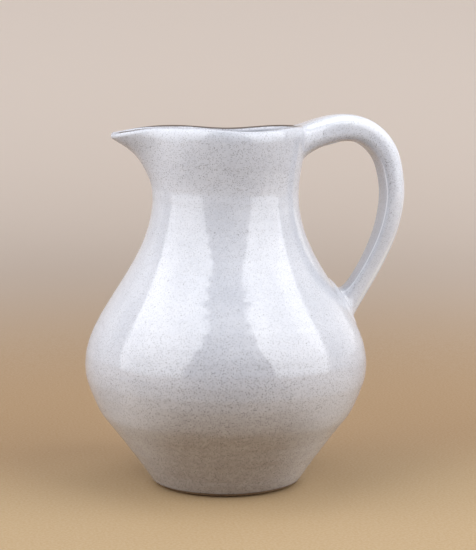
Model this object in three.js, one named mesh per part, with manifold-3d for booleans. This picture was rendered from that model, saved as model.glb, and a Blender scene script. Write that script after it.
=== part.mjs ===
// A stoneware pitcher: a jug thrown on the wheel, its lip pulled out into a spout, with a pulled strap
// handle luted on under the lip and on the shoulder, and a glaze coat over everything but the base.
//
// Frame: millimetres, +Z up. The origin is the centre of the flat base, on the axis of the wheel.
// The spout points to -X and the handle to +X. The jug is symmetric about the XZ plane.
import * as THREE from "three";
import { mergeVertices } from "three/addons/utils/BufferGeometryUtils.js";
import Module from "manifold-3d";

// ---- Driving dimensions ----

// Outline of the glazed outside from the base to the lip, as [radius, height].
const SIDE = [
  [46.4, 1.8],
  [48.0, 4.2],
  [55.4, 15],
  [66.0, 29.5],
  [72.0, 37.5],
  [79.6, 46],
  [82.2, 54.5],
  [86.6, 64],
  [88.5, 73],
  [87.4, 86.5],
  [81.4, 102],
  [72.6, 117],
  [63.7, 131],
  [55.4, 145],
  [49.0, 161],
  [46.0, 175],
  [45.9, 188],
  [47.9, 201],
  [49.1, 212],
  [49.3, 223.3],
];
// The same outline down the middle of the spout, which starts as a throat in the neck.
const THROAT_RING = 16;
const SPOUT = [
  [46.2, 188],
  [51.8, 201],
  [60.4, 210.9],
  [70.0, 217.2],
];
const SPOUT_HALF_ANGLE = THREE.MathUtils.degToRad(17);
const SPOUT_PINCH = 1.1; // the neck is pressed in a little on both sides of the spout
const PINCH_ANGLE = THREE.MathUtils.degToRad(40);

// The lip isn't level: it sags on both sides between the spout and the handle.
const LIP_SAG = 2.3;
const SAG_ANGLE = THREE.MathUtils.degToRad(100); // from the spout
const SAG_WIDTH = THREE.MathUtils.degToRad(30);

const GLAZE = 0.6; // thickness of the glaze coat
const LIP_THICKNESS = 5.0; // glaze to glaze
const WALL_THICKNESS = 6.0;
const BASE_WALL_THICKNESS = 8.5;
const BASE_RADIUS = 44.6;
const BASE_SWELL = [5, 60]; // heights between which the wall thins from the base up
const LIP_TAPER = [170, 220]; // heights between which it thins again towards the lip
const FLOOR_HEIGHT = 8.5; // top of the glazed floor inside
const FLOOR_RADIUS = 28; // of the flat middle of the floor
const FLOOR_CORNER = { radius: 40, rise: 2.2 }; // where the floor starts to climb into the wall
const GLAZE_RING = 1; // the glaze stops at this ring of SIDE, above the bare base
const WALL_RING = 2; // the wall's inside meets the floor at this ring

// Middle line of the handle in the XZ plane, as [x, z], and its section as [width, thickness] there.
const HANDLE = [
  { at: [43, 212], width: 31, thickness: 20 },
  { at: [53, 216.6], width: 30, thickness: 18.5 },
  { at: [63, 221], width: 29.5, thickness: 17.5 },
  { at: [75, 223.2], width: 29, thickness: 16.8 },
  { at: [86.5, 221.2], width: 28.5, thickness: 16 },
  { at: [96, 215], width: 28, thickness: 15.3 },
  { at: [103, 205.5], width: 27.5, thickness: 14.5 },
  { at: [107, 191], width: 27, thickness: 13.6 },
  { at: [107, 177], width: 26, thickness: 13 },
  { at: [104, 161], width: 24, thickness: 12.4 },
  { at: [98, 145], width: 21.5, thickness: 12 },
  { at: [90.5, 131], width: 20, thickness: 12 },
  { at: [82, 117.5], width: 21, thickness: 13 },
  { at: [73, 104], width: 22, thickness: 14 },
];
const THUMB_GROOVE = 0.9; // depth of the two grooves along the handle's back
const GROOVE_END = 0.8; // share of the half width where each groove runs out
const SECTION_POWER = 2.6; // 2 is an ellipse, and more is squarer
// Each joint runs from the wall out to a tip, as shares of the middle line, and flares at the wall to
// the sides, over the handle's back and under it.
const UPPER_JOINT = { root: 0.045, tip: 0.14, sides: 8, over: 0, under: 2.2 };
const LOWER_JOINT = { root: 0.945, tip: 0.86, sides: 4.5, over: 1.5, under: 2.5 };
const JOINT_LIP = 0.8; // how far a joint's thin end stands out from the handle's glaze
const GAP = 0.3; // left where one piece is cut to fit another
const GLAZE_END_GAP = 0.004; // left between the handle's glaze and each joint, as a share of the line
const PLUG_HEIGHT = 240; // of the solid that cuts the handle's roots to the wall

// ---- Facets ----

const AROUND = 40;
const SPOUT_CROWDING = 0.45; // 0 spaces the facets evenly, and more crowds them at the spout
const CREST_FACETS = 4; // even, so that one edge runs along the top of the lip
const HANDLE_AROUND = 20;
const HANDLE_ALONG = 26;
const HANDLE_GLAZE_ALONG = 20;
const JOINT_ALONG = 4;
const WELD = 1e-3; // vertices closer than this are one

const wasm = await Module();
wasm.setup();

// ---- Surfaces ----

// A surface through rings of equally many points. Each quad is split on its shorter diagonal, so two
// pieces that share a face share its triangles too. The last ring joins the first, unless the ends
// are capped with a fan.
function lofted(rings, capped = false) {
  const around = rings[0].length;
  const vertices = rings.flat();
  const faces = [];
  const split = (a, b, c, d) => {
    const alongAC = vertices[a].distanceToSquared(vertices[c]);
    const alongBD = vertices[b].distanceToSquared(vertices[d]);
    faces.push(...(alongAC < alongBD ? [a, b, c, a, c, d] : [a, b, d, b, c, d]));
  };
  rings.forEach((_, i) => {
    if (capped && i === rings.length - 1) return;
    const here = i * around;
    const next = ((i + 1) % rings.length) * around;
    for (let j = 0; j < around; j++) {
      const k = (j + 1) % around;
      split(here + j, here + k, next + k, next + j);
    }
  });
  if (capped) {
    const last = vertices.length - around;
    vertices.push(middleOf(rings[0]), middleOf(rings[rings.length - 1]));
    for (let j = 0; j < around; j++) {
      const k = (j + 1) % around;
      faces.push(vertices.length - 2, k, j, vertices.length - 1, last + j, last + k);
    }
  }
  const geometry = new THREE.BufferGeometry().setFromPoints(vertices);
  geometry.setIndex(faces);
  return geometry;
}

const middleOf = (ring) =>
  ring.reduce((sum, point) => sum.add(point), new THREE.Vector3()).divideScalar(ring.length);

// ---- The thrown wall ----

const onAxis = (height) => new THREE.Vector2(0, height);

const bump = (angle, width) => Math.exp(-((angle / width) ** 2));

// The glazed outside at an angle from the spout, as a spline in the half plane of radius and height.
function outsideAt(fromSpout) {
  const pull = bump(fromSpout, SPOUT_HALF_ANGLE);
  const pinch = SPOUT_PINCH * bump(Math.abs(fromSpout) - PINCH_ANGLE, SPOUT_HALF_ANGLE);
  const sag = LIP_SAG * bump(Math.abs(fromSpout) - SAG_ANGLE, SAG_WIDTH);
  const points = SIDE.map(([radius, height], ring) => {
    const point = new THREE.Vector2(radius, height);
    if (ring < THROAT_RING) return point;
    const share = (ring - THROAT_RING) / (SPOUT.length - 1);
    point.lerp(new THREE.Vector2(...SPOUT[ring - THROAT_RING]), pull);
    point.x -= pinch * Math.sqrt(share);
    point.y -= sag * share;
    return point;
  });
  return new THREE.SplineCurve(points);
}

// Points of a face that lies at a depth under the glazed outside, ring by ring.
function face(spline, firstRing, depthAt) {
  const last = SIDE.length - 1;
  const points = [];
  for (let ring = firstRing; ring <= last; ring++) {
    const along = ring / last;
    const tangent = spline.getTangent(along);
    const inward = new THREE.Vector2(-tangent.y, tangent.x);
    points.push(spline.getPoint(along).addScaledVector(inward, depthAt(ring)));
  }
  return points;
}

// The half round top of the lip at a depth under the glaze: from the outside to the inside.
function crest(spline, depth) {
  const tangent = spline.getTangent(1);
  const outward = new THREE.Vector2(tangent.y, -tangent.x);
  const centre = spline.getPoint(1).addScaledVector(outward, -LIP_THICKNESS / 2);
  const radius = LIP_THICKNESS / 2 - depth;
  const points = [];
  for (let facet = 1; facet < CREST_FACETS; facet++) {
    const turn = (Math.PI * facet) / CREST_FACETS;
    points.push(
      centre
        .clone()
        .addScaledVector(outward, radius * Math.cos(turn))
        .addScaledVector(tangent, radius * Math.sin(turn)),
    );
  }
  return points;
}

// Thickness of the wall with its glaze: thick at the base, thin at the lip.
function wallThickness(ring) {
  const height = SIDE[ring][1];
  const low = THREE.MathUtils.smoothstep(height, ...BASE_SWELL);
  const high = THREE.MathUtils.smoothstep(height, ...LIP_TAPER);
  const wall = THREE.MathUtils.lerp(BASE_WALL_THICKNESS, WALL_THICKNESS, low);
  return THREE.MathUtils.lerp(wall, LIP_THICKNESS, high);
}

// The inside at a height over the glaze, from the lip down to the middle of the floor.
function insideDown(spline, under) {
  const wall = face(spline, WALL_RING, (ring) => wallThickness(ring) - under).reverse();
  const floor = FLOOR_HEIGHT - under;
  const corner = new THREE.Vector2(FLOOR_CORNER.radius, floor + FLOOR_CORNER.rise);
  return [...wall, corner, new THREE.Vector2(FLOOR_RADIUS, floor), onAxis(floor)];
}

// A turned piece whose profile changes with the angle. A profile closes on itself, or starts and ends
// on the axis.
function turned(profileAt) {
  const rings = [];
  for (let step = 0; step < AROUND; step++) {
    const even = Math.PI - (2 * Math.PI * step) / AROUND;
    const fromSpout = even - SPOUT_CROWDING * Math.sin(even);
    const place = ({ x: radius, y: height }) =>
      new THREE.Vector3(-radius * Math.cos(fromSpout), -radius * Math.sin(fromSpout), height);
    rings.push(profileAt(fromSpout).map(place));
  }
  return lofted(rings);
}

// The clay: flat bare base, wall, lip, inside and floor.
const thrownBody = () =>
  turned((fromSpout) => {
    const spline = outsideAt(fromSpout);
    return [
      onAxis(0),
      new THREE.Vector2(BASE_RADIUS, 0),
      ...face(spline, 0, () => GLAZE),
      ...crest(spline, GLAZE),
      ...insideDown(spline, GLAZE),
    ];
  });

const topOfLip = (spline, depth) => crest(spline, depth)[CREST_FACETS / 2 - 1];
const outerHalf = (points) => points.slice(0, CREST_FACETS / 2 - 1);
const innerHalf = (points) => points.slice(CREST_FACETS / 2);

// A solid plug of the jug at a depth under the glazed outside, going on above the top of the lip.
const plug = (depth) =>
  turned((fromSpout) => {
    const spline = outsideAt(fromSpout);
    const lip = [...outerHalf(crest(spline, depth)), topOfLip(spline, depth)];
    const above = new THREE.Vector2(lip[lip.length - 1].x, PLUG_HEIGHT);
    return [onAxis(0), ...face(spline, 0, () => depth), ...lip, above, onAxis(PLUG_HEIGHT)];
  });

// The glaze outside, from above the bare base to the top of the lip.
const outerGlaze = () =>
  turned((fromSpout) => {
    const spline = outsideAt(fromSpout);
    const under = face(spline, GLAZE_RING, () => GLAZE);
    const over = face(spline, GLAZE_RING, () => 0);
    return [
      ...over,
      ...outerHalf(crest(spline, 0)),
      topOfLip(spline, 0),
      topOfLip(spline, GLAZE),
      ...outerHalf(crest(spline, GLAZE)).reverse(),
      ...under.reverse(),
    ];
  });

// The liner glaze, from the top of the lip down over the floor.
const innerGlaze = () =>
  turned((fromSpout) => {
    const spline = outsideAt(fromSpout);
    const under = [
      topOfLip(spline, GLAZE),
      ...innerHalf(crest(spline, GLAZE)),
      ...insideDown(spline, GLAZE),
    ];
    const over = [
      topOfLip(spline, 0),
      ...innerHalf(crest(spline, 0)),
      ...insideDown(spline, 0),
    ];
    return [...under.reverse(), ...over];
  });

// ---- The handle ----

const handleLine = new THREE.CatmullRomCurve3(
  HANDLE.map(({ at: [x, z] }) => new THREE.Vector3(x, 0, z)),
);

// Width and thickness of the glazed handle at a share of its middle line.
function handleSize(along) {
  const place = along * (HANDLE.length - 1);
  const before = Math.min(Math.floor(place), HANDLE.length - 2);
  const [a, b] = [HANDLE[before], HANDLE[before + 1]];
  const share = place - before;
  return [
    THREE.MathUtils.lerp(a.width, b.width, share),
    THREE.MathUtils.lerp(a.thickness, b.thickness, share),
  ];
}

// One ring round the handle, grown from the glazed strap to its sides, over its back and under it.
function handleRing(along, sides, over = sides, under = sides) {
  const centre = handleLine.getPoint(along);
  const across = new THREE.Vector3(0, 1, 0);
  const back = new THREE.Vector3().crossVectors(handleLine.getTangent(along), across);
  const [width, thickness] = handleSize(along);
  const squarer = (value) => Math.sign(value) * Math.abs(value) ** (2 / SECTION_POWER);
  const ring = [];
  for (let step = 0; step < HANDLE_AROUND; step++) {
    const turn = (2 * Math.PI * step) / HANDLE_AROUND;
    const u = squarer(Math.cos(turn));
    const v = squarer(Math.sin(turn));
    const half = thickness / 2 + (v > 0 ? over - groove(u) : under);
    const point = centre.clone().addScaledVector(across, u * (width / 2 + sides));
    ring.push(point.addScaledVector(back, v * half));
  }
  return ring;
}

// Depth of the two grooves on the back at a share of the half width, with a rib between them.
function groove(u) {
  return THUMB_GROOVE * Math.sin(Math.PI * Math.min(1, Math.abs(u) / GROOVE_END)) ** 2;
}

const spread = (from, to, steps) =>
  Array.from({ length: steps + 1 }, (_, i) => THREE.MathUtils.lerp(from, to, i / steps));

// The handle as one solid strap, grown on every side.
function strap(grow) {
  const rings = spread(0, 1, HANDLE_ALONG).map((along) => handleRing(along, grow));
  return lofted(rings, true);
}

// The glaze on the strap, from one joint to the other, with a gap over the clay.
function strapGlaze() {
  const from = UPPER_JOINT.tip + GLAZE_END_GAP;
  const stations = spread(from, LOWER_JOINT.tip - GLAZE_END_GAP, HANDLE_GLAZE_ALONG);
  const over = stations.map((along) => handleRing(along, 0));
  const under = stations.map((along) => handleRing(along, GAP - GLAZE));
  return lofted([...over, ...under.reverse()]);
}

// The clay pressed round a root of the handle: it flares from the handle's section to the wall.
function jointFlare({ root, tip, sides, over, under }, grow) {
  const end = Math.round(root); // the handle's own end, inside the wall
  const rings = [end, ...spread(root, tip, JOINT_ALONG)].map((along) => {
    const swell = (1 - Math.max(0, (along - root) / (tip - root))) ** 2;
    const least = JOINT_LIP + grow;
    return handleRing(along, least + swell * sides, least + swell * over, least + swell * under);
  });
  return lofted(root < tip ? rings : rings.reverse(), true);
}

// ---- Cutting one piece to fit another ----

function solid(geometry) {
  const merged = mergeVertices(geometry, WELD);
  return new wasm.Manifold(
    new wasm.Mesh({
      numProp: 3,
      vertProperties: merged.getAttribute("position").array,
      triVerts: new Uint32Array(merged.index.array),
    }),
  );
}

function geometryOf(manifold) {
  const mesh = manifold.getMesh();
  const geometry = new THREE.BufferGeometry();
  geometry.setAttribute("position", new THREE.BufferAttribute(mesh.vertProperties, 3));
  geometry.setIndex(new THREE.BufferAttribute(mesh.triVerts, 1));
  return geometry;
}

const wallPlug = solid(plug(GLAZE - GAP));
const strapHole = solid(strap(GAP - GLAZE));

// A joint's clay, cut to the wall and round the strap.
function joint(shape) {
  return geometryOf(solid(jointFlare(shape, 0)).subtract(wallPlug).subtract(strapHole));
}

// The strap's clay, which butts on the wall at both ends. What reaches past the wall is dropped.
function handleClay() {
  const pieces = solid(strap(-GLAZE)).subtract(wallPlug).decompose();
  return geometryOf(pieces.reduce((a, b) => (a.volume() > b.volume() ? a : b)));
}

// The outside glaze, left open where the joints meet the wall.
function windowedGlaze() {
  const windows = [UPPER_JOINT, LOWER_JOINT].map((shape) => solid(jointFlare(shape, GAP)));
  return geometryOf(windows.reduce((glaze, window) => glaze.subtract(window), solid(outerGlaze())));
}

// ---- The assembly ----

const clay = new THREE.MeshStandardMaterial({ color: 0x9c8a76, roughness: 0.9, metalness: 0 });
const glaze = new THREE.MeshStandardMaterial({ color: 0xd9d8da, roughness: 0.12, metalness: 0 });

const pitcher = new THREE.Group();

function add(name, geometry, material) {
  const mesh = new THREE.Mesh(geometry, material);
  mesh.name = name;
  pitcher.add(mesh);
}

add("thrown_body", thrownBody(), clay);
add("strap_handle", handleClay(), clay);
add("upper_handle_joint", joint(UPPER_JOINT), clay);
add("lower_handle_joint", joint(LOWER_JOINT), clay);
add("outer_glaze", windowedGlaze(), glaze);
add("inner_glaze", innerGlaze(), glaze);
add("handle_glaze", strapGlaze(), glaze);

export default pitcher;
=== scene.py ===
import math

import bpy
import numpy as np
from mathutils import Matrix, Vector


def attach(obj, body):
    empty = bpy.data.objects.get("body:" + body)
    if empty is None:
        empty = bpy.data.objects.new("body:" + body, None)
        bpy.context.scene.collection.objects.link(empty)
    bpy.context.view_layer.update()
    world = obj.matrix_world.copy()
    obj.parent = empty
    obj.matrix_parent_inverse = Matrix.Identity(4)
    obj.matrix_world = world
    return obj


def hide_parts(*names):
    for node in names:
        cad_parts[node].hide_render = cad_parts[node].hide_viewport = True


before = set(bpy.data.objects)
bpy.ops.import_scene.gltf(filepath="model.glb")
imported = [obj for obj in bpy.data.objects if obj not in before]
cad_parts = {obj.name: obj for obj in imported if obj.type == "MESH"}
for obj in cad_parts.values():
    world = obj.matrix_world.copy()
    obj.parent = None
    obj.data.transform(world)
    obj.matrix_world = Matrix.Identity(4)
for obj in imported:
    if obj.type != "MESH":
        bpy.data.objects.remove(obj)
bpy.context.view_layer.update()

MM = 0.001  # shapes below are in millimetres, in the frame of the CAD model


# ---- Driving dimensions of the jug ----

# Outline of the glazed outside from the base to the lip, as (radius, height).
OUTLINE = [
    (46.6, 1.6), (48.4, 4.2), (51.7, 9), (55.8, 15), (61.3, 22.5), (66.8, 30), (71.9, 36.6),
    (76.2, 42), (79.6, 47), (82.1, 52), (84.2, 57), (86.1, 62), (87.7, 67), (88.6, 73), (88.3, 82),
    (86.2, 91), (80.9, 103), (72.6, 117), (63.7, 131), (55.6, 145), (49.6, 159), (46.3, 173),
    (45.8, 187), (47.7, 201), (48.9, 209), (49.7, 216), (49.9, 219), (49.6, 221.6), (49.0, 223.3),
]
# The same outline down the middle of the spout, from the throat up.
SPOUT = [
    (45.9, 180), (46.6, 188.5), (49.0, 195), (53.2, 202.8), (59.9, 210.2), (66.4, 214.6),
    (70.3, 217.0),
]
THROAT_HEIGHT = 180
SPOUT_ANGLE = math.radians(17)  # spread of the pull that makes the spout, and of the pinches beside it
PINCH = 1.2  # how far the lip is pinched in on both sides of the spout
PINCH_AT = math.radians(41)
SAG = 2.3  # how far the lip dips on both sides
SAG_AT = math.radians(100)
SAG_WIDTH = math.radians(30)
LATE = 1.5  # power that keeps the pinch and the dip to the upper part of the neck

GLAZE = 0.6  # thickness of a glaze coat
LIP = 4.8  # thickness of the lip
WALL = 6.0
LIP_THINNING = (165, 222)  # heights between which the wall goes over to the lip's thickness
BASE_SWELL = 2.5  # how much thicker the wall is at the base
BASE_THINNING = (5, 60)  # heights between which that fades out
FLOOR_HEIGHT = 8.5
FLAT_FLOOR = 0.72  # share of the floor's radius that is flat, inside the curve up into the wall
WALL_FOOT = 0.07  # share of the outline where the inside wall ends and that curve starts
BASE_RADII = (0, 6, 14, 22, 30, 38, 41.2, 42.2)  # rings of the bare base, out to its rounded edge

THROW_PITCH = 7.5  # rise of the throwing spiral in one turn
THROW_RIDGE = 0.035  # height of its ridges
THROW_FADE = (195, 215)  # heights between which the spiral fades out
# A second, slower spiral: its ridge and pitch as shares of the first one's, its start in radians.
SLOW_SPIRAL = {"ridge": 0.6, "pitch": 1.63, "start": 2}
FLOOR_PITCH = 6
FLOOR_RIDGE = 0.25
FLOOR_CALM = 8  # radius within which the floor's spiral fades out

GLAZE_EDGE = 0.004  # share of the outline where the outer glaze starts, above the bare base
GLAZE_WAVES = ((0.0007, 3, 1), (0.0006, 7, 0))  # how that edge wavers: share, waves in a turn, start

# Lines where the glaze runs thin, as widths in millimetres and angles from the spout in radians.
THIN_LIP = 1.9
THIN_SPOUT = {"less": 0.7, "spread": 0.5}  # the glaze stays on nearer to the edge of the spout
THIN_TIP = {"less": 0.6, "spread": 0.13}  # and covers the very tip of it
THIN_FOOT = 1.2


# ---- Driving dimensions of the handle ----

# The handle's middle line from the lip to the shoulder, as (x, z, width, thickness).
STRAP = [
    (53.0, 217.0, 30.5, 18.0), (62.3, 221.2, 30.0, 17.4), (74.8, 223.4, 29.5, 16.8),
    (86.1, 221.6, 28.5, 16.2), (95.2, 215.8, 28.0, 15.6), (102.2, 206.6, 27.5, 14.8),
    (105.7, 195.5, 27.0, 14.0), (107.2, 182.5, 26.5, 13.5), (105.8, 168.8, 25.5, 13.0),
    (102.6, 156.7, 24.0, 12.6), (97.1, 143.5, 22.0, 12.3), (90.3, 130.7, 20.5, 12.4),
    (82.8, 118.8, 20.0, 13.0),
]
UPPER_TIP = 0.16  # shares of the middle line where the joints end and the free strap begins
LOWER_TIP = 0.945

# The strap's section is a superellipse, squarer under its widest line than over it.
# Between these shares of the middle line the two pairs after it go from their first value to their second.
LOW_STRAP = (0.2, 0.6)
BACK_POWER = (2.8, 2.3)
WIDEST_AT = (0.42, 0.30)  # height of the widest line over the underside, as a share of the thickness
UNDER_POWER = 3.3

RIB = 0.3  # height of the ribs between the finger grooves on the strap's back
RIB_WAVES = 2.2
RIB_WANDER = 9  # how fast the grooves shift sideways along the strap
RIB_FADE = (0.2, 0.6)  # the ribs come in between these shares of the back's height

# Each joint: the height of its middle on the jug, and how far it reaches to the sides, over the
# strap's back and under it: the strap's own foot, the crease round it, and the edge of the low mound
# of clay that was smoothed on round the crease. back is 1 where the strap's back faces up the jug and
# -1 where it faces down. mound is the mound's height. hug and run are how far the joint's curve
# follows the mound and the strap at its two ends.
UPPER_JOINT = {"height": 214.5, "back": 1, "mound": 0.0, "hug": 0.9, "run": 0.42,
               "foot": (15.0, 12.0, 7.5), "crease": (22.6, 13.0, 12.6), "edge": (23.5, 13.4, 13.5)}
LOWER_JOINT = {"height": 110.5, "back": -1, "mound": 2.0, "hug": 0.6, "run": 0.8,
               "foot": (10.3, 7.0, 9.0), "crease": (12.6, 9.5, 14.5), "edge": (23.0, 18.0, 25.0)}
JOINT_POWER = 2.4  # a joint's outline on the jug is a superellipse too
MOUND_DROP = 0.7  # share of the mound that is missing over the strap's back
JOINT_SUNK = 0.9  # how far the joint's edge is sunk into the wall
TUNNEL = 0.9  # size of the strap's tunnel in the joint, as a share of the joint round it
TUNNEL_SUNK = 1.2
ROOT = 0.75  # size of the strap's clay inside the joints, as a share of its free size
ROOT_STEP = 0.01  # how far past a joint's tip the clay has its free size, as a share of the line

# Glaze and painted highlights on the strap, by the sine of the angle round it: -1 is under it and 1 is
# over its back.
EDGE_HIGHLIGHT_WIDTH = 0.085  # of the painted highlight lines along the two lower edges
EDGE_HIGHLIGHT_START = (0.3, 0.5)  # shares of the middle line between which they start
THICK_BACK = (0.0, 0.5)  # the back's painted highlight, and its thick glaze in the grooves, come in between these
BACK_GLAZE_AND_HIGHLIGHT = 0.3
GROOVE_GLAZE_AND_HIGHLIGHT = 0.4
THIN_SIDE = {"at": -0.3, "spread": 0.35, "thin": 0.3}


# ---- Fineness of the meshes ----

AROUND = 224
SPOUT_CROWDING = 0.45  # how much closer together the points round the jug are at the spout
OUTSIDE_RINGS = 190
CREST_RINGS = 13
INSIDE_RINGS = 110
FLOOR_RINGS = 25  # for the curve, and again for the flat floor
STRAP_AROUND = 96
STRAP_RINGS = 150
STRAP_CLAY_RINGS = 60
MOUND_RINGS = 10
JOINT_RINGS = 28  # with the mound's
OUTLINE_STEPS = 2400
SPOUT_STEPS = 600
STRAP_STEPS = 1200
NEAR_HANDLE = AROUND // 8  # how many points to each side of the handle's plane the joints can reach
POLE = 1e-6  # a ring smaller than this is one point
NO_LENGTH = 1e-9  # keeps the division finite for a vector of no length

# Mesh attribute: 1 where the glaze has run thin over an edge, -1 where it is thick, and on the strap also
# where a highlight is painted.
GLAZE_THINNESS_AND_HIGHLIGHT = "glaze_thinness_and_highlight"


# ---- Curves and surfaces ----

def spline(points, count):
    """A natural cubic spline through the points, read at count even shares of its chord length."""
    values = np.array(points, float)
    chords = np.linalg.norm(np.diff(values[:, :2], axis=0), axis=1)
    knots = np.concatenate([[0], np.cumsum(chords)]) / chords.sum()
    step = np.diff(knots)
    rise = np.diff(values, axis=0) / step[:, None]
    system = np.eye(len(knots))
    for i in range(1, len(knots) - 1):
        system[i, i - 1:i + 2] = step[i - 1], 2 * (step[i - 1] + step[i]), step[i]
    bend = np.zeros_like(values)
    bend[1:-1] = 3 * np.diff(rise, axis=0)
    bend = np.linalg.solve(system, bend)
    at = np.linspace(0, 1, count)
    part = np.clip(np.searchsorted(knots, at) - 1, 0, len(step) - 1)
    t = (at - knots[part])[:, None]
    h = step[part][:, None]
    slope = rise[part] - h * (2 * bend[part] + bend[part + 1]) / 3
    cube = (bend[part + 1] - bend[part]) / (3 * h)
    return values[part] + slope * t + bend[part] * t**2 + cube * t**3


def bump(distance, width):
    """1 at distance 0, falling off smoothly to both sides."""
    return np.exp(-((distance / width) ** 2))


def smooth(low, high, value):
    """0 up to low, 1 from high, with a smooth step between them."""
    t = np.clip((value - low) / (high - low), 0, 1)
    return t * t * (3 - 2 * t)


def blend(pair, share):
    """From the first value of a pair to the second."""
    return pair[0] + (pair[1] - pair[0]) * share


def superellipse(turn, power):
    """Cosine and sine of an angle, pushed out towards the corners of a square."""
    across = np.sign(np.cos(turn)) * np.abs(np.cos(turn)) ** (2 / power)
    over = np.sign(np.sin(turn)) * np.abs(np.sin(turn)) ** (2 / power)
    return across, over


def lengths_along(points):
    """Distance along a line at each of its points."""
    return np.concatenate([[0], np.cumsum(np.linalg.norm(np.diff(points, axis=0), axis=1))])


def unit(vectors):
    return vectors / np.maximum(np.linalg.norm(vectors, axis=-1, keepdims=True), NO_LENGTH)


def normals(grid):
    """Outward normals of a grid of rings, whose points run counterclockwise seen from outside."""
    along = np.gradient(grid, axis=0)
    around = np.roll(grid, -1, axis=1) - np.roll(grid, 1, axis=1)
    return unit(np.cross(around, along))


def piece(name, rings, facing, node, material, loop=True, thin=None):
    """A closed mesh through rings of points. With loop the last ring joins the first. Otherwise the
    ends are poles, rings shrunk to a point. facing is the shading normal at each point, and thin how
    thin the glaze has run there, from -1 to 1; on the strap, values under 0 also carry painted highlights."""
    count, around = rings.shape[:2]
    index = np.arange(count * around).reshape(count, around)
    for pole in (0, count - 1):
        if np.ptp(rings[pole], axis=0).max() < POLE:
            index[pole] = index[pole, 0]
    used, flat = np.unique(index, return_inverse=True)
    index = flat.reshape(count, around)
    faces = []
    for i in range(count if loop else count - 1):
        here, above = index[i], index[(i + 1) % count]
        for j in range(around):
            k = (j + 1) % around
            face = [here[j], here[k], above[k], above[j]]
            faces.append(list(dict.fromkeys(int(v) for v in face)))
    mesh = bpy.data.meshes.new(name)
    mesh.from_pydata((rings.reshape(-1, 3)[used] * MM).tolist(), [], faces)
    mesh.shade_smooth()
    mesh.normals_split_custom_set_from_vertices(unit(facing.reshape(-1, 3)[used]).tolist())
    if thin is not None:
        attribute = mesh.attributes.new(GLAZE_THINNESS_AND_HIGHLIGHT, "FLOAT", "POINT")
        attribute.data.foreach_set("value", thin.reshape(-1)[used].astype(np.float32))
    mesh.materials.append(material)
    made = bpy.data.objects.new(name, mesh)
    bpy.context.scene.collection.objects.link(made)
    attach(made, "root")
    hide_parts(node)


# ---- Surface of the jug ----

EVEN = np.linspace(-math.pi, math.pi, AROUND, endpoint=False)
TURN = EVEN - SPOUT_CROWDING * np.sin(EVEN)  # angles from the spout
FINE_OUTLINE = spline(OUTLINE, OUTLINE_STEPS)
FINE_LENGTH = lengths_along(FINE_OUTLINE)
FINE_SHARE = FINE_LENGTH / FINE_LENGTH[-1]
FINE_SPOUT = spline(SPOUT, SPOUT_STEPS)
THROAT = np.interp(THROAT_HEIGHT, FINE_OUTLINE[:, 1], FINE_SHARE)


def throwing_spiral(height, turn):
    """The ridges that the potter's fingers left, as a height over the wall."""
    climb = 2 * math.pi * height / THROW_PITCH
    fast = np.sin(climb + turn)
    slow = np.sin(climb / SLOW_SPIRAL["pitch"] + turn + SLOW_SPIRAL["start"])
    return THROW_RIDGE * (fast + SLOW_SPIRAL["ridge"] * slow) * (1 - smooth(*THROW_FADE, height))


def outside(share, turn):
    """Points of the glazed outside at shares of the outline and angles from the spout."""
    radius = np.interp(share, FINE_SHARE, FINE_OUTLINE[:, 0])
    height = np.interp(share, FINE_SHARE, FINE_OUTLINE[:, 1])
    radius = radius + throwing_spiral(height, turn)
    rise = np.clip((share - THROAT) / (1 - THROAT), 0, 1)
    even = np.linspace(0, 1, len(FINE_SPOUT))
    pull = bump(turn, SPOUT_ANGLE) * (rise > 0)
    radius = radius + pull * (np.interp(rise, even, FINE_SPOUT[:, 0]) - radius)
    height = height + pull * (np.interp(rise, even, FINE_SPOUT[:, 1]) - height)
    radius = radius - PINCH * bump(np.abs(turn) - PINCH_AT, SPOUT_ANGLE) * rise**LATE
    height = height - SAG * bump(np.abs(turn) - SAG_AT, SAG_WIDTH) * rise**LATE
    return np.stack([-radius * np.cos(turn), -radius * np.sin(turn), height], axis=-1)


def wall_thickness(height):
    swell = BASE_SWELL * (1 - smooth(*BASE_THINNING, height))
    return WALL + swell + (LIP - WALL) * smooth(*LIP_THINNING, height)


def crest(rim, out, up):
    """The half round top of the lip."""
    turn = np.linspace(0, math.pi, CREST_RINGS + 2)[1:-1, None, None]
    centre = rim - LIP / 2 * out
    return centre + LIP / 2 * (np.cos(turn) * out + np.sin(turn) * up)


def floor_curve(wall_foot, down):
    """From the foot of the inside wall, in a curve along the wall's slope, over the floor to its
    middle."""
    drop = (wall_foot[..., 2:] - FLOOR_HEIGHT) / -down[..., 2:]
    corner = wall_foot + down * drop
    flat = corner * np.array([FLAT_FLOOR, FLAT_FLOOR, 1])
    t = np.linspace(0, 1, FLOOR_RINGS + 1)[1:, None, None]
    curve = (1 - t) ** 2 * wall_foot + 2 * t * (1 - t) * corner + t**2 * flat
    middle = flat * np.array([1, 1, 0]) * (1 - t) + flat * np.array([0, 0, 1])
    radius = np.linalg.norm(middle[..., :2], axis=-1)
    spiral = np.sin(2 * math.pi * radius / FLOOR_PITCH + TURN)
    middle[..., 2] += FLOOR_RIDGE * spiral * smooth(0, FLOOR_CALM, radius)
    return np.concatenate([curve, middle])


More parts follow.
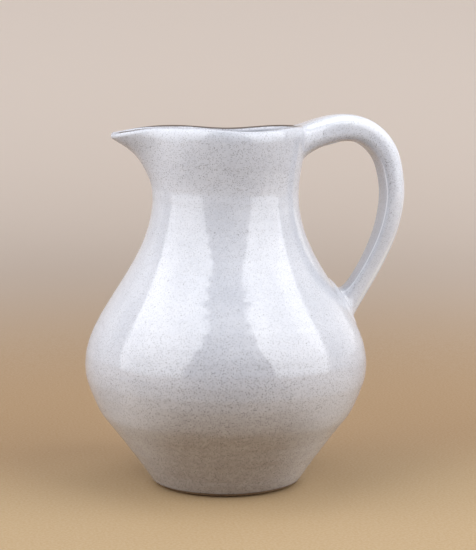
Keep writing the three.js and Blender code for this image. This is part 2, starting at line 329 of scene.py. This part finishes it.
def jug_rings():
    """The glazed surface from the outer glaze's lower edge over the lip to the middle of the floor."""
    edge = GLAZE_EDGE + sum(size * np.sin(waves * TURN + start) for size, waves, start in GLAZE_WAVES)
    step = np.linspace(0, 1, OUTSIDE_RINGS)[:, None]
    outer = outside(edge + (1 - edge) * step, TURN[None, :])
    out = normals(outer)
    up = unit(outer[-1] - outer[-2])
    top = crest(outer[-1], out[-1], up)
    inside_share = np.linspace(1, WALL_FOOT, INSIDE_RINGS)[:, None]
    behind = outside(inside_share, TURN[None, :])
    height = behind[..., 2:]
    inner = behind + normals(behind) * wall_thickness(height)
    down = unit(inner[-1] - inner[-2])
    return np.concatenate([outer, top, inner, floor_curve(inner[-1], down)])


jug = jug_rings()
jug_facing = normals(jug)
jug_facing[-1] = (0, 0, 1)
CREST_TOP = OUTSIDE_RINGS + CREST_RINGS // 2  # the ring where the outer glaze meets the inner one


def thin_edges():
    """How thin the glaze is at each point of the jug: it runs off the lip and off its own lower edge."""
    step = np.linalg.norm(np.diff(jug, axis=0), axis=2)
    along = np.concatenate([np.zeros((1, AROUND)), np.cumsum(step, axis=0)])
    width = THIN_LIP - THIN_SPOUT["less"] * bump(TURN, THIN_SPOUT["spread"])
    lip = 1 - THIN_TIP["less"] * bump(TURN, THIN_TIP["spread"])
    return lip * bump(along - along[CREST_TOP], width) + bump(along, THIN_FOOT)


# ---- Materials ----

class Surface:
    """One procedural material, with short forms of the shader nodes that it is made of. Sizes are in
    millimetres of the frame, so patterns run on from one piece to the next."""

    def __init__(self, name):
        self.material = bpy.data.materials.new(name)
        self.material.use_nodes = True
        self.shader = self.material.node_tree.nodes["Principled BSDF"]
        self.place = self.node("ShaderNodeTexCoord").outputs["Object"]

    def node(self, kind, inputs=None, **settings):
        made = self.material.node_tree.nodes.new(kind)
        for name, value in settings.items():
            setattr(made, name, value)
        for key, value in (inputs or {}).items():
            self.feed(made.inputs[key], value)
        return made

    def feed(self, socket, value):
        if isinstance(value, bpy.types.NodeSocket):
            self.material.node_tree.links.new(value, socket)
        else:
            socket.default_value = value

    def math(self, operation, a, b=0.0):
        return self.node("ShaderNodeMath", {0: a, 1: b}, operation=operation).outputs[0]

    def plus(self, a, b):
        return self.math("ADD", a, b)

    def minus(self, a, b):
        return self.math("SUBTRACT", a, b)

    def times(self, a, b):
        return self.math("MULTIPLY", a, b)

    def along(self, axis):
        """The place along the X, Y or Z axis of the frame, in millimetres."""
        metres = self.node("ShaderNodeSeparateXYZ", {0: self.place}).outputs[axis]
        return self.times(metres, 1 / MM)

    def noise(self, size, detail=2.0, stretch=(1, 1, 1)):
        """Soft noise with features of a size, drawn out along the axes whose stretch is under 1."""
        place = self.node("ShaderNodeMapping", {"Vector": self.place, "Scale": stretch}).outputs[0]
        return self.node("ShaderNodeTexNoise", {"Vector": place, "Scale": 1 / (size * MM),
                                                "Detail": detail}).outputs[0]

    def between(self, value, low, high):
        """0 where the value is at low, 1 where it is at high, with a soft step between them."""
        return self.node("ShaderNodeMapRange", {"Value": value, "From Min": low, "From Max": high},
                         interpolation_type="SMOOTHSTEP").outputs[0]

    def mix(self, share, a, b):
        """A colour between a and b."""
        return self.node("ShaderNodeMix", {0: share, 6: a, 7: b}, data_type="RGBA").outputs[2]

    def specks(self, cell, share, radius):
        """Round specks: in a share of the cells of a size, and up to a radius, as a share of the cell."""
        cells = self.node("ShaderNodeTexVoronoi", {"Vector": self.place, "Scale": 1 / (cell * MM)})
        chance = self.node("ShaderNodeSeparateColor", {0: cells.outputs["Color"]}).outputs[0]
        size = self.node("ShaderNodeMapRange", {"Value": chance, "From Min": 1 - share, "To Min": 0.0,
                                                "To Max": radius}).outputs[0]
        inside = self.minus(size, cells.outputs["Distance"])
        return self.between(inside, 0.0, radius * 0.5)

    def bump(self, height, depth, under=None):
        inputs = {"Height": height, "Distance": depth * MM}
        if under is not None:
            inputs["Normal"] = under
        return self.node("ShaderNodeBump", inputs).outputs[0]

    def finish(self, colour, roughness, normal, ior):
        self.feed(self.shader.inputs["Base Color"], colour)
        self.feed(self.shader.inputs["Roughness"], roughness)
        self.feed(self.shader.inputs["Normal"], normal)
        self.shader.inputs["IOR"].default_value = ior
        return self.material


# Noises of the glaze: size of their features in millimetres, detail, and stretch.
CLOUDS = (34, 3)
STREAKS = (7, 2, (0.1, 0.1, 1))
GRAIN = (1.3, 3)
MOTTLING = (3.2, 3)
RAGGED = (5, 2)
RIPPLES = (7, 2)

# Iron specks: size of a cell in millimetres, share of the cells that have one, and the largest radius
# as a share of the cell.
PEPPER = (0.62, 0.95, 0.66)
FINE_SPECKS = (1.25, 0.9, 0.46)
COARSE_SPECKS = (2.8, 0.5, 0.23)

# Colours are in linear light, with their alpha.
CLOUD_GREY = (0.585, 0.593, 0.632, 1)
CLOUD_WHITE = (0.655, 0.66, 0.695, 1)
MILKY = (0.72, 0.725, 0.75, 1)
MOTTLED_WHITE = (0.75, 0.74, 0.74, 1)
BELLY_SHADE_GREY = (0.25, 0.257, 0.305, 1)
FOOT_BROWN = (0.285, 0.243, 0.212, 1)
NECK_SHADE_GREY = (0.36, 0.37, 0.43, 1)
SPARSE_GREY = (0.36, 0.36, 0.40, 1)
PEPPER_BLACK = (0.085, 0.08, 0.08, 1)
FINE_SPECK_GREY = (0.20, 0.18, 0.18, 1)
COARSE_SPECK_BROWN = (0.13, 0.11, 0.105, 1)
BARE_LINE_BROWN = (0.09, 0.06, 0.04, 1)
# white of thick glaze, and of the painted highlights on the strap
THICK_GLAZE_AND_HIGHLIGHT_WHITE = (0.93, 0.94, 0.96, 1)

# Heights where the colour changes, from none of a change to all of it: painted shade on the belly and
# round the neck, and a browner foot.
BELLY_SHADE_HEIGHTS = (116, 74)
FOOT_DARKENS = (68, 38)
FOOT_LINE = (64.5, 59)
NECK_FROM = (178, 192)
NECK_TO = (221, 216)
FLANKS = (22, 64)  # distances to both sides of FRONT between which the painted side light comes in
FRONT = -10  # X of the middle, between the two flanks that the painted side light falls on

# How much of each colour shows where its cause is at its strongest.
BELLY_SHOWS = 0.41
FOOT_SHOWS = 0.68
FOOT_LINE_SHOWS = 0.22
NECK_SHOWS = 0.1
MILK_SHOWS = 0.35
MOTTLING_SHOWS = 0.1
SPARSE_SHOWS = 0.35
COARSE_SPECKS_SHOW = 0.45
FLANK_LIGHT_ON_FOOT = 0.85  # how far the painted side light on the flanks undoes the change at the foot
FLANK_LIGHT_ON_BELLY = 0.4

BARE_FROM = (0.68, 0.92)  # thinness, made ragged, where the clay starts to show and where it fully does
POLISH = 0.07  # roughness of the glaze at its smoothest
GRAIN_HEIGHT = 0.006
RIPPLE_HEIGHT = 0.12
GLAZE_IOR = 1.65


def painted_shade_bands(s):
    """Painted shade on the belly and round the neck, and a browner foot, from 0 to 1, each less on the
    flanks as painted side light.
    """
    height = s.along("Z")
    # painted side light: the flanks, left and right of FRONT, are kept lighter
    flank_light = s.between(s.math("ABSOLUTE", s.minus(s.along("X"), FRONT)), *FLANKS)
    # painted shade on the lower belly
    belly = s.between(height, *BELLY_SHADE_HEIGHTS)
    belly = s.times(belly, s.minus(1, s.times(flank_light, FLANK_LIGHT_ON_BELLY)))
    foot = s.times(s.between(height, *FOOT_DARKENS), FOOT_SHOWS)
    foot = s.plus(foot, s.times(s.between(height, *FOOT_LINE), FOOT_LINE_SHOWS))
    foot = s.times(foot, s.minus(1, s.times(flank_light, FLANK_LIGHT_ON_FOOT)))
    # painted shade round the neck
    neck = s.times(s.between(height, *NECK_FROM), s.between(height, *NECK_TO))
    return belly, foot, neck


def speckled_glaze():
    """Glossy grey white glaze with iron specks of three sizes. The two smaller ones show more where the
    glaze is thin and in the painted shade of the belly and neck."""
    s = Surface("speckled_glaze")
    clouds = s.noise(*CLOUDS)
    streaks = s.noise(*STREAKS)
    grain = s.noise(*GRAIN)
    belly, foot, neck = painted_shade_bands(s)
    thin = s.node("ShaderNodeAttribute", attribute_name=GLAZE_THINNESS_AND_HIGHLIGHT).outputs["Fac"]
    sparse = s.between(thin, 0, 0.6)

    colour = s.mix(s.between(clouds, 0.35, 0.65), CLOUD_GREY, CLOUD_WHITE)
    colour = s.mix(s.times(s.between(grain, 0.4, 0.7), MILK_SHOWS), colour, MILKY)
    patchy = s.plus(0.55, s.times(streaks, 0.5))
    # painted shade on the lower belly, in streaks
    colour = s.mix(s.times(belly, s.times(patchy, BELLY_SHOWS)), colour, BELLY_SHADE_GREY)
    # browner towards the foot, less so on the flanks as painted side light
    colour = s.mix(s.times(foot, patchy), colour, FOOT_BROWN)
    # painted shade round the neck
    colour = s.mix(s.times(neck, NECK_SHOWS), colour, NECK_SHADE_GREY)
    mottled = s.between(s.noise(*MOTTLING), 0.42, 0.66)
    colour = s.mix(s.times(mottled, MOTTLING_SHOWS), colour, MOTTLED_WHITE)
    colour = s.mix(s.times(sparse, SPARSE_SHOWS), colour, SPARSE_GREY)

    # specks show more in the painted shade of the belly and neck, and where the glaze runs thin
    shade_and_thin = s.plus(s.times(belly, 0.8), s.times(neck, 0.45))
    shade_and_thin = s.plus(shade_and_thin, s.times(sparse, 0.7))
    pepper = s.specks(*PEPPER)
    shown = s.plus(0.34, s.times(shade_and_thin, 0.5))
    colour = s.mix(s.times(pepper, shown), colour, PEPPER_BLACK)
    fine = s.specks(*FINE_SPECKS)
    shown = s.plus(0.2, s.times(s.between(clouds, 0.3, 0.7), 0.2))
    shown = s.plus(shown, s.times(shade_and_thin, 0.25))
    colour = s.mix(s.times(fine, shown), colour, FINE_SPECK_GREY)
    coarse = s.specks(*COARSE_SPECKS)
    colour = s.mix(s.times(coarse, COARSE_SPECKS_SHOW), colour, COARSE_SPECK_BROWN)

    bare = s.between(s.plus(thin, s.times(s.noise(*RAGGED), 0.3)), *BARE_FROM)
    colour = s.mix(bare, colour, BARE_LINE_BROWN)
    # thick glaze in the strap's grooves, and painted highlights along its lower edges and over its back
    colour = s.mix(s.between(thin, 0, -1), colour, THICK_GLAZE_AND_HIGHLIGHT_WHITE)

    roughness = s.plus(POLISH, s.times(grain, 0.07))
    roughness = s.plus(roughness, s.times(bare, 0.25))
    ripple = s.bump(s.noise(*RIPPLES), RIPPLE_HEIGHT)
    normal = s.bump(s.minus(grain, s.times(coarse, 0.6)), GRAIN_HEIGHT, ripple)
    return s.finish(colour, roughness, normal, GLAZE_IOR)


CLAY_DARK = (0.20, 0.13, 0.085, 1)
CLAY_LIGHT = (0.29, 0.20, 0.13, 1)
CLAY_DUST = (0.36, 0.26, 0.18, 1)
GROG_BROWN = (0.07, 0.05, 0.04, 1)
GROG = (1.6, 0.4, 0.35)  # as the iron specks
WIRE_MARKS = {"Scale": 90.0, "Distortion": 1.5, "Detail": 2.0}
CLAY_IOR = 1.45


def bare_clay():
    """Rough brown stoneware with dark grains of grog and the marks of the wire that cut it off."""
    s = Surface("bare_clay")
    grain = s.noise(1.1, 4)
    colour = s.mix(s.between(s.noise(14, 3), 0.35, 0.65), CLAY_DARK, CLAY_LIGHT)
    colour = s.mix(s.between(grain, 0.35, 0.7), colour, CLAY_DUST)
    colour = s.mix(s.times(s.specks(*GROG), 0.7), colour, GROG_BROWN)
    roughness = s.plus(0.72, s.times(grain, 0.2))
    waves = {"Vector": s.place, **WIRE_MARKS}
    wire = s.node("ShaderNodeTexWave", waves, bands_direction="DIAGONAL").outputs["Fac"]
    normal = s.bump(grain, 0.25, s.bump(wire, 0.12))
    return s.finish(colour, roughness, normal, CLAY_IOR)


LIT_FRONT_TAN = (0.433, 0.295, 0.147, 1)
SHADED_BACK_TAN = (0.365, 0.225, 0.104, 1)
FAR_PALE = (0.98, 0.82, 0.68, 1)
PAPER_FIBRE = (0.9, 0.85, 0.8, 1)
TAN_CHANGES = (-60, 120)  # Y where the near paper goes from painted light in front of the jug to painted shade behind it
PALE_FROM = (0.2, 1.85)  # distance in metres from the jug's axis where it goes over to pale
PAPER_IOR = 1.4


def paper():
    """The stage's paper: tan round the jug, lighter in front and darker behind it as painted light, pale
    further off.
    """
    s = Surface("paper")
    grain = s.noise(1.6, 3)
    across = s.node("ShaderNodeMapping", {"Vector": s.place, "Scale": (1, 1, 0)}).outputs[0]
    radius = s.node("ShaderNodeVectorMath", {0: across}, operation="LENGTH").outputs["Value"]
    # painted light: lighter paper in front of the jug, darker behind it
    near = s.mix(s.between(s.along("Y"), *TAN_CHANGES), LIT_FRONT_TAN, SHADED_BACK_TAN)
    colour = s.mix(s.between(radius, *PALE_FROM), near, FAR_PALE)
    colour = s.mix(s.times(s.between(grain, 0.35, 0.65), 0.08), colour, PAPER_FIBRE)
    roughness = s.plus(0.6, s.times(grain, 0.2))
    return s.finish(colour, roughness, s.bump(grain, 0.05), PAPER_IOR)


clay = bare_clay()
glaze = speckled_glaze()


# ---- The jug ----

def coat(name, rings, facing, node, thin, loop=True):
    """A glaze coat: the surface itself, and the clay's surface under it. With loop the two meet at both
    edges of the coat. Without, they meet at its first ring, and both end in a point on the axis."""
    under = (rings - GLAZE * facing)[::-1]
    order = [rings, under] if loop else [under, rings]
    sides = [facing, -facing[::-1]] if loop else [-facing[::-1], facing]
    thins = [thin, thin[::-1]] if loop else [thin[::-1], thin]
    piece(name, np.concatenate(order), np.concatenate(sides), node, glaze, loop,
          np.concatenate(thins))


def clay_body():
    """The thrown clay under the glaze, with its flat bare base."""
    wall = jug - GLAZE * jug_facing
    foot = outside(np.array([[0.0], [GLAZE_EDGE]]), TURN[None, :])
    foot = foot - GLAZE * unit(foot * np.array([1, 1, 0]))
    base = np.stack([-np.cos(TURN), -np.sin(TURN), 0 * TURN], axis=-1)
    base = base * np.array(BASE_RADII)[:, None, None]
    return np.concatenate([base, foot, wall])


jug_thin = thin_edges()
outer = slice(0, CREST_TOP + 1)
inner = slice(CREST_TOP, None)
coat("outer_glaze_coat", jug[outer], jug_facing[outer], "outer_glaze", jug_thin[outer])

body = clay_body()
body_facing = normals(body)
body_facing[:len(BASE_RADII) - 1] = (0, 0, -1)
body_facing[-1] = (0, 0, 1)
piece("clay_body", body, body_facing, "thrown_body", clay, loop=False)

coat("inner_glaze_coat", jug[inner], jug_facing[inner], "inner_glaze", jug_thin[inner], loop=False)


# ---- The handle ----

FINE_STRAP = spline(STRAP, STRAP_STEPS)
STRAP_TURN = np.linspace(0, 2 * math.pi, STRAP_AROUND, endpoint=False)
JUG_LENGTH = lengths_along(jug[:, 0])  # distance up the outline on the handle's side, at each ring


def strap_ribs(share, across):
    """The ribs between the finger grooves along the strap's back, from -1 to 1."""
    return np.cos(2 * math.pi * RIB_WAVES * across + np.sin(RIB_WANDER * share)[:, None])


def strap_ring_points(share, grow=0.0):
    """Rings of the strap at shares of its middle line, grown outwards. They run round it from its near
    side over its back. Its underside is flatter than its back, and more so further down."""
    even = np.linspace(0, 1, len(FINE_STRAP))
    x, z, width, thickness = (np.interp(share, even, FINE_STRAP[:, i])[:, None] for i in range(4))
    slope = np.gradient(FINE_STRAP[:, :2], axis=0)
    ahead = unit(np.stack([np.interp(share, even, slope[:, i]) for i in range(2)], axis=-1))
    low = smooth(*LOW_STRAP, share)[:, None]
    turn = STRAP_TURN[None, :]
    back = np.sin(turn) >= 0
    across, over = superellipse(turn, np.where(back, blend(BACK_POWER, low), UNDER_POWER))
    widest = thickness * blend(WIDEST_AT, low)
    depth = np.where(back, thickness - widest, widest) + grow
    ribs = RIB * strap_ribs(share, across) * smooth(*RIB_FADE, over)
    side = across * (width / 2 + grow)
    rise = widest - thickness / 2 + over * depth + ribs
    back_x, back_z = -ahead[:, 1:], ahead[:, :1]
    return np.stack([x + rise * back_x, side, z + rise * back_z], axis=-1)


def on_jug(along, side):
    """The point and normal of the jug's glaze at fractional rings, side millimetres from the handle's
    plane."""
    points, facing = [], []
    near = np.arange(-NEAR_HANDLE, NEAR_HANDLE + 1) % AROUND
    for ring, y in zip(along, side):
        i = int(ring)
        f = ring - i
        row = (1 - f) * jug[i, near] + f * jug[i + 1, near]
        row_facing = (1 - f) * jug_facing[i, near] + f * jug_facing[i + 1, near]
        order = np.argsort(row[:, 1])
        points.append([np.interp(y, row[order, 1], row[order, axis]) for axis in range(3)])
        facing.append([np.interp(y, row[order, 1], row_facing[order, axis]) for axis in range(3)])
    return np.array(points), unit(np.array(facing))


def footprint(joint, reach, mound=0.0):
    """Points and normals on the jug round a joint, at a reach of (side, over, under), raised by a mound
    that is lower over the strap's back."""
    rings = slice(0, OUTSIDE_RINGS)
    middle = np.interp(joint["height"], jug[rings, 0, 2], JUG_LENGTH[rings])
    across, over = superellipse(STRAP_TURN, JOINT_POWER)
    climb = np.where(over > 0, over * reach[1], over * reach[2]) * joint["back"]
    along = np.interp(middle + climb, JUG_LENGTH, np.arange(len(JUG_LENGTH)))
    points, facing = on_jug(along, across * reach[0])
    raised = mound * (1 - MOUND_DROP * np.maximum(over, 0))[:, None]
    return points + raised * facing, facing


def joint_rings(joint, tip, ahead):
    """Rings of a joint from its edge on the jug, up its mound to the crease and on to the strap's ring
    at its tip. ahead is the strap's direction there, away from the jug."""
    mound = []
    for t in np.linspace(0, 1, MOUND_RINGS):
        reach = [(1 - t) * edge + t * crease for edge, crease in zip(joint["edge"], joint["crease"])]
        mound.append(footprint(joint, reach, joint["mound"] * smooth(0, 1, t))[0])
    crease = mound[-1]
    foot = footprint(joint, joint["foot"], joint["mound"])[0]
    inward = np.linalg.norm(foot - crease, axis=1, keepdims=True)
    first = crease + unit(crease - mound[-2]) * inward * joint["hug"]
    length = np.linalg.norm(tip - foot, axis=1, keepdims=True)
    second = tip - ahead * length * joint["run"]
    t = np.linspace(0, 1, JOINT_RINGS - MOUND_RINGS + 2)[1:-1, None, None]
    start = (1 - t) ** 3 * crease + 3 * t * (1 - t) ** 2 * first
    end = 3 * t**2 * (1 - t) * second + t**3 * tip
    return np.concatenate([np.stack(mound), start + end]), footprint(joint, joint["edge"])[1]


def handle_rings():
    """The handle's glazed surface, from the edge of the upper joint to the edge of the lower one."""
    strap = strap_ring_points(np.linspace(UPPER_TIP, LOWER_TIP, STRAP_RINGS))
    upper, upper_facing = joint_rings(UPPER_JOINT, strap[0], unit(strap[1] - strap[0]))
    lower, lower_facing = joint_rings(LOWER_JOINT, strap[-1], unit(strap[-2] - strap[-1]))
    rings = np.concatenate([upper, strap, lower[::-1]])
    facing = normals(rings)
    facing[0], facing[-1] = upper_facing, lower_facing
    return rings, facing


def strap_glaze_and_highlights():
    """How thin the glaze is on the strap: it lies thick in the finger grooves and a little thin on the
    two sides. Painted highlights lie along its two lower edges and over its back."""
    share = np.linspace(UPPER_TIP, LOWER_TIP, STRAP_RINGS)
    turn = STRAP_TURN[None, :]
    corner = np.abs(np.cos(turn)) - math.sqrt(0.5)
    # painted highlight along the two lower edges
    edge = bump(corner, EDGE_HIGHLIGHT_WIDTH) * (np.sin(turn) < 0) * smooth(*EDGE_HIGHLIGHT_START, share)[:, None]
    groove = 0.5 - 0.5 * strap_ribs(share, np.cos(turn))
    # thick glaze in the finger grooves, and painted highlight over the back
    back = (BACK_GLAZE_AND_HIGHLIGHT + GROOVE_GLAZE_AND_HIGHLIGHT * groove**2) * smooth(*THICK_BACK, np.sin(turn))
    side = THIN_SIDE["thin"] * bump(np.sin(turn) - THIN_SIDE["at"], THIN_SIDE["spread"]) * (1 - edge)
    return side - edge - back


def joint_piece(name, rings, facing, node, joint, thin, deep_first):
    """A joint's clay: its smoothed outside, sunk a little into the wall, and the strap's tunnel in it.
    The strap's uneven glaze and its painted highlights fade out down the joint."""
    deep, tip = (0, -1) if deep_first else (-1, 0)
    sunk = rings[deep] - JOINT_SUNK * facing[deep]
    base, base_facing = footprint(joint, [TUNNEL * reach for reach in joint["foot"]])
    middle = rings[tip].mean(0)
    tunnel = TUNNEL * (rings[tip] - middle)
    hole = [middle + tunnel, base - TUNNEL_SUNK * base_facing]
    hole_facing = [-unit(tunnel)] * 2
    fading = np.linspace(0, 1, len(rings))[:, None] * thin
    buried = np.zeros((3, STRAP_AROUND))
    if deep_first:
        all_rings = np.concatenate([[sunk], rings, hole])
        all_facing = np.concatenate([[facing[deep]], facing, hole_facing])
        all_thin = np.concatenate([buried[:1], fading, buried[1:]])
    else:
        all_rings = np.concatenate([rings, [sunk], hole[::-1]])
        all_facing = np.concatenate([facing, [facing[deep]], hole_facing])
        all_thin = np.concatenate([fading[::-1], buried])
    piece(name, all_rings, all_facing, node, glaze, thin=all_thin)


def strap_clay():
    """The strap's clay under its glaze, with its thinner roots inside the joints."""
    share = np.linspace(0, 1, STRAP_CLAY_RINGS)
    rings = strap_ring_points(share, -GLAZE)
    free = smooth(0, UPPER_TIP + ROOT_STEP, share) * (1 - smooth(LOWER_TIP - ROOT_STEP, 1, share))
    middle = rings.mean(1, keepdims=True)
    rings = middle + (rings - middle) * blend((ROOT, 1), free)[:, None, None]
    caps = [np.repeat(rings[end].mean(1, keepdims=True), STRAP_AROUND, 1)
            for end in (slice(0, 1), slice(-1, None))]
    full = np.concatenate([caps[0], rings, caps[1]])
    facing = normals(full)
    facing[0], facing[-1] = (-1, 0, 0), (0, 0, -1)
    piece("strap_clay", full, facing, "strap_handle", clay, loop=False)


handle, handle_facing = handle_rings()
strap_thin_and_highlights = strap_glaze_and_highlights()
upper = slice(0, JOINT_RINGS + 1)
strap = slice(JOINT_RINGS, JOINT_RINGS + STRAP_RINGS)
lower = slice(JOINT_RINGS + STRAP_RINGS - 1, None)
coat("handle_glaze_coat", handle[strap], handle_facing[strap], "handle_glaze", strap_thin_and_highlights)
joint_piece("upper_joint", handle[upper], handle_facing[upper], "upper_handle_joint", UPPER_JOINT,
            strap_thin_and_highlights[0], deep_first=True)
joint_piece("lower_joint", handle[lower], handle_facing[lower], "lower_handle_joint", LOWER_JOINT,
            strap_thin_and_highlights[-1], deep_first=False)
strap_clay()


# ---- Stage, in metres ----

STAGE_TURNS = 96  # points in each ring of a sheet
NEAR_FLOOR = 0.35  # radius of the floor that throws light back at the jug
FLOOR = [(0.0005, 0), (NEAR_FLOOR, 0)]  # profiles of (radius, height)
SWEEP = [
    (NEAR_FLOOR, 0), (0.7, 0), (1.1, 0), (1.25, 0.012), (1.4, 0.05), (1.55, 0.14), (1.66, 0.29),
    (1.7, 0.5), (1.7, 1.2), (1.7, 2.2),
]
FLOOR_SHEET_RINGS = 12
SWEEP_SHEET_RINGS = 60


def stage_sheet(name, profile, rings, material):
    """A sheet turned round the middle of the floor, from a profile."""
    mesh = bpy.data.meshes.new(name)
    outline = spline(profile, rings)
    turn = np.linspace(0, 2 * math.pi, STAGE_TURNS, endpoint=False)
    radius, height = outline[:, :1], outline[:, 1:]
    points = np.stack([radius * np.cos(turn), radius * np.sin(turn), height + 0 * turn], -1)
    faces = []
    for i in range(rings - 1):
        here, above = i * STAGE_TURNS, (i + 1) * STAGE_TURNS
        for j in range(STAGE_TURNS):
            k = (j + 1) % STAGE_TURNS
            faces.append((here + j, here + k, above + k, above + j))
    mesh.from_pydata(points.reshape(-1, 3).tolist(), [], faces)
    mesh.shade_smooth()
    mesh.materials.append(material)
    sheet = bpy.data.objects.new(name, mesh)
    bpy.context.scene.collection.objects.link(sheet)
    return sheet


backdrop = paper()
stage_sheet("floor", FLOOR, FLOOR_SHEET_RINGS, backdrop)
sweep = stage_sheet("sweep", SWEEP, SWEEP_SHEET_RINGS, backdrop)
sweep.visible_diffuse = False  # the world, not the sweep, is the soft light from all round


# ---- Light ----

LIGHT_AIM = (0, 0, 0.06)
LIGHT_COLOUR = (0.94, 0.955, 0.985)
SOFTBOXES = [  # name, place, (width, height), power
    ("left_softbox", (-1.00, -0.31, 0.63), (1.4, 1.5), 17.0),
    ("right_softbox", (0.861, -0.598, 0.63), (1.17, 1.5), 15.6),
]
PANELS = [
    ("left_back_softbox", (-1.12, 0.45, 0.72), (1.2, 1.3), 2.0),
    ("right_back_softbox", (1.16, 0.33, 0.72), (1.5, 1.3), 4.8),
    ("overhead_softbox", (0, 0.3, 1.7), (1.3, 1.0), 6.5),
]
STRIPS = 5
STRIP_STEP = 0.13  # how much brighter each strip of a softbox is than its mean, for each one up
WORLD_COLOUR = (0.87, 0.94, 1.15, 1)
WORLD_STRENGTH = 0.2


def panel(name, place, target, size, power):
    """A soft rectangular light."""
    data = bpy.data.lights.new(name, "AREA")
    data.shape = "RECTANGLE"
    data.size, data.size_y = size
    data.energy = power
    data.color = LIGHT_COLOUR
    lamp = bpy.data.objects.new(name, data)
    bpy.context.scene.collection.objects.link(lamp)
    lamp.location = place
    lamp.rotation_euler = (Vector(target) - Vector(place)).to_track_quat("-Z", "Y").to_euler()
    lamp.visible_camera = False


def softbox(name, place, size, power):
    """A standing softbox in strips, brighter towards its top."""
    facing = (Vector(LIGHT_AIM) - Vector(place)).to_track_quat("-Z", "Y")
    rise = facing @ Vector((0, size[1] / STRIPS, 0))
    for i in range(STRIPS):
        step = i - (STRIPS - 1) / 2
        middle = Vector(place) + step * rise
        target = middle + facing @ Vector((0, 0, -1))
        strip_power = power / STRIPS * (1 + STRIP_STEP * step)
        panel(f"{name}_{i}", middle, target, (size[0], size[1] / STRIPS), strip_power)


for name, place, size, power in SOFTBOXES:
    softbox(name, place, size, power)
for name, place, size, power in PANELS:
    panel(name, place, LIGHT_AIM, size, power)

world = bpy.data.worlds.new("world")
bpy.context.scene.world = world
world.use_nodes = True
background = world.node_tree.nodes["Background"]
background.inputs["Color"].default_value = WORLD_COLOUR
background.inputs["Strength"].default_value = WORLD_STRENGTH


# ---- Camera ----

SENSOR_WIDTH = 36
LENS = 103
CAMERA_PLACE = (-153.7, -970.4, 250.3)
CAMERA_AIM = (7.6, -1.2, 131.4)

camera_data = bpy.data.cameras.new("camera")
camera_data.sensor_width = SENSOR_WIDTH
camera_data.lens = LENS
camera = bpy.data.objects.new("camera", camera_data)
bpy.context.scene.collection.objects.link(camera)
camera.location = Vector(CAMERA_PLACE) * MM
view = Vector(CAMERA_AIM) * MM - camera.location
camera.rotation_euler = view.to_track_quat("-Z", "Y").to_euler()
bpy.context.scene.camera = camera
bpy.context.scene.view_settings.view_transform = "Standard"
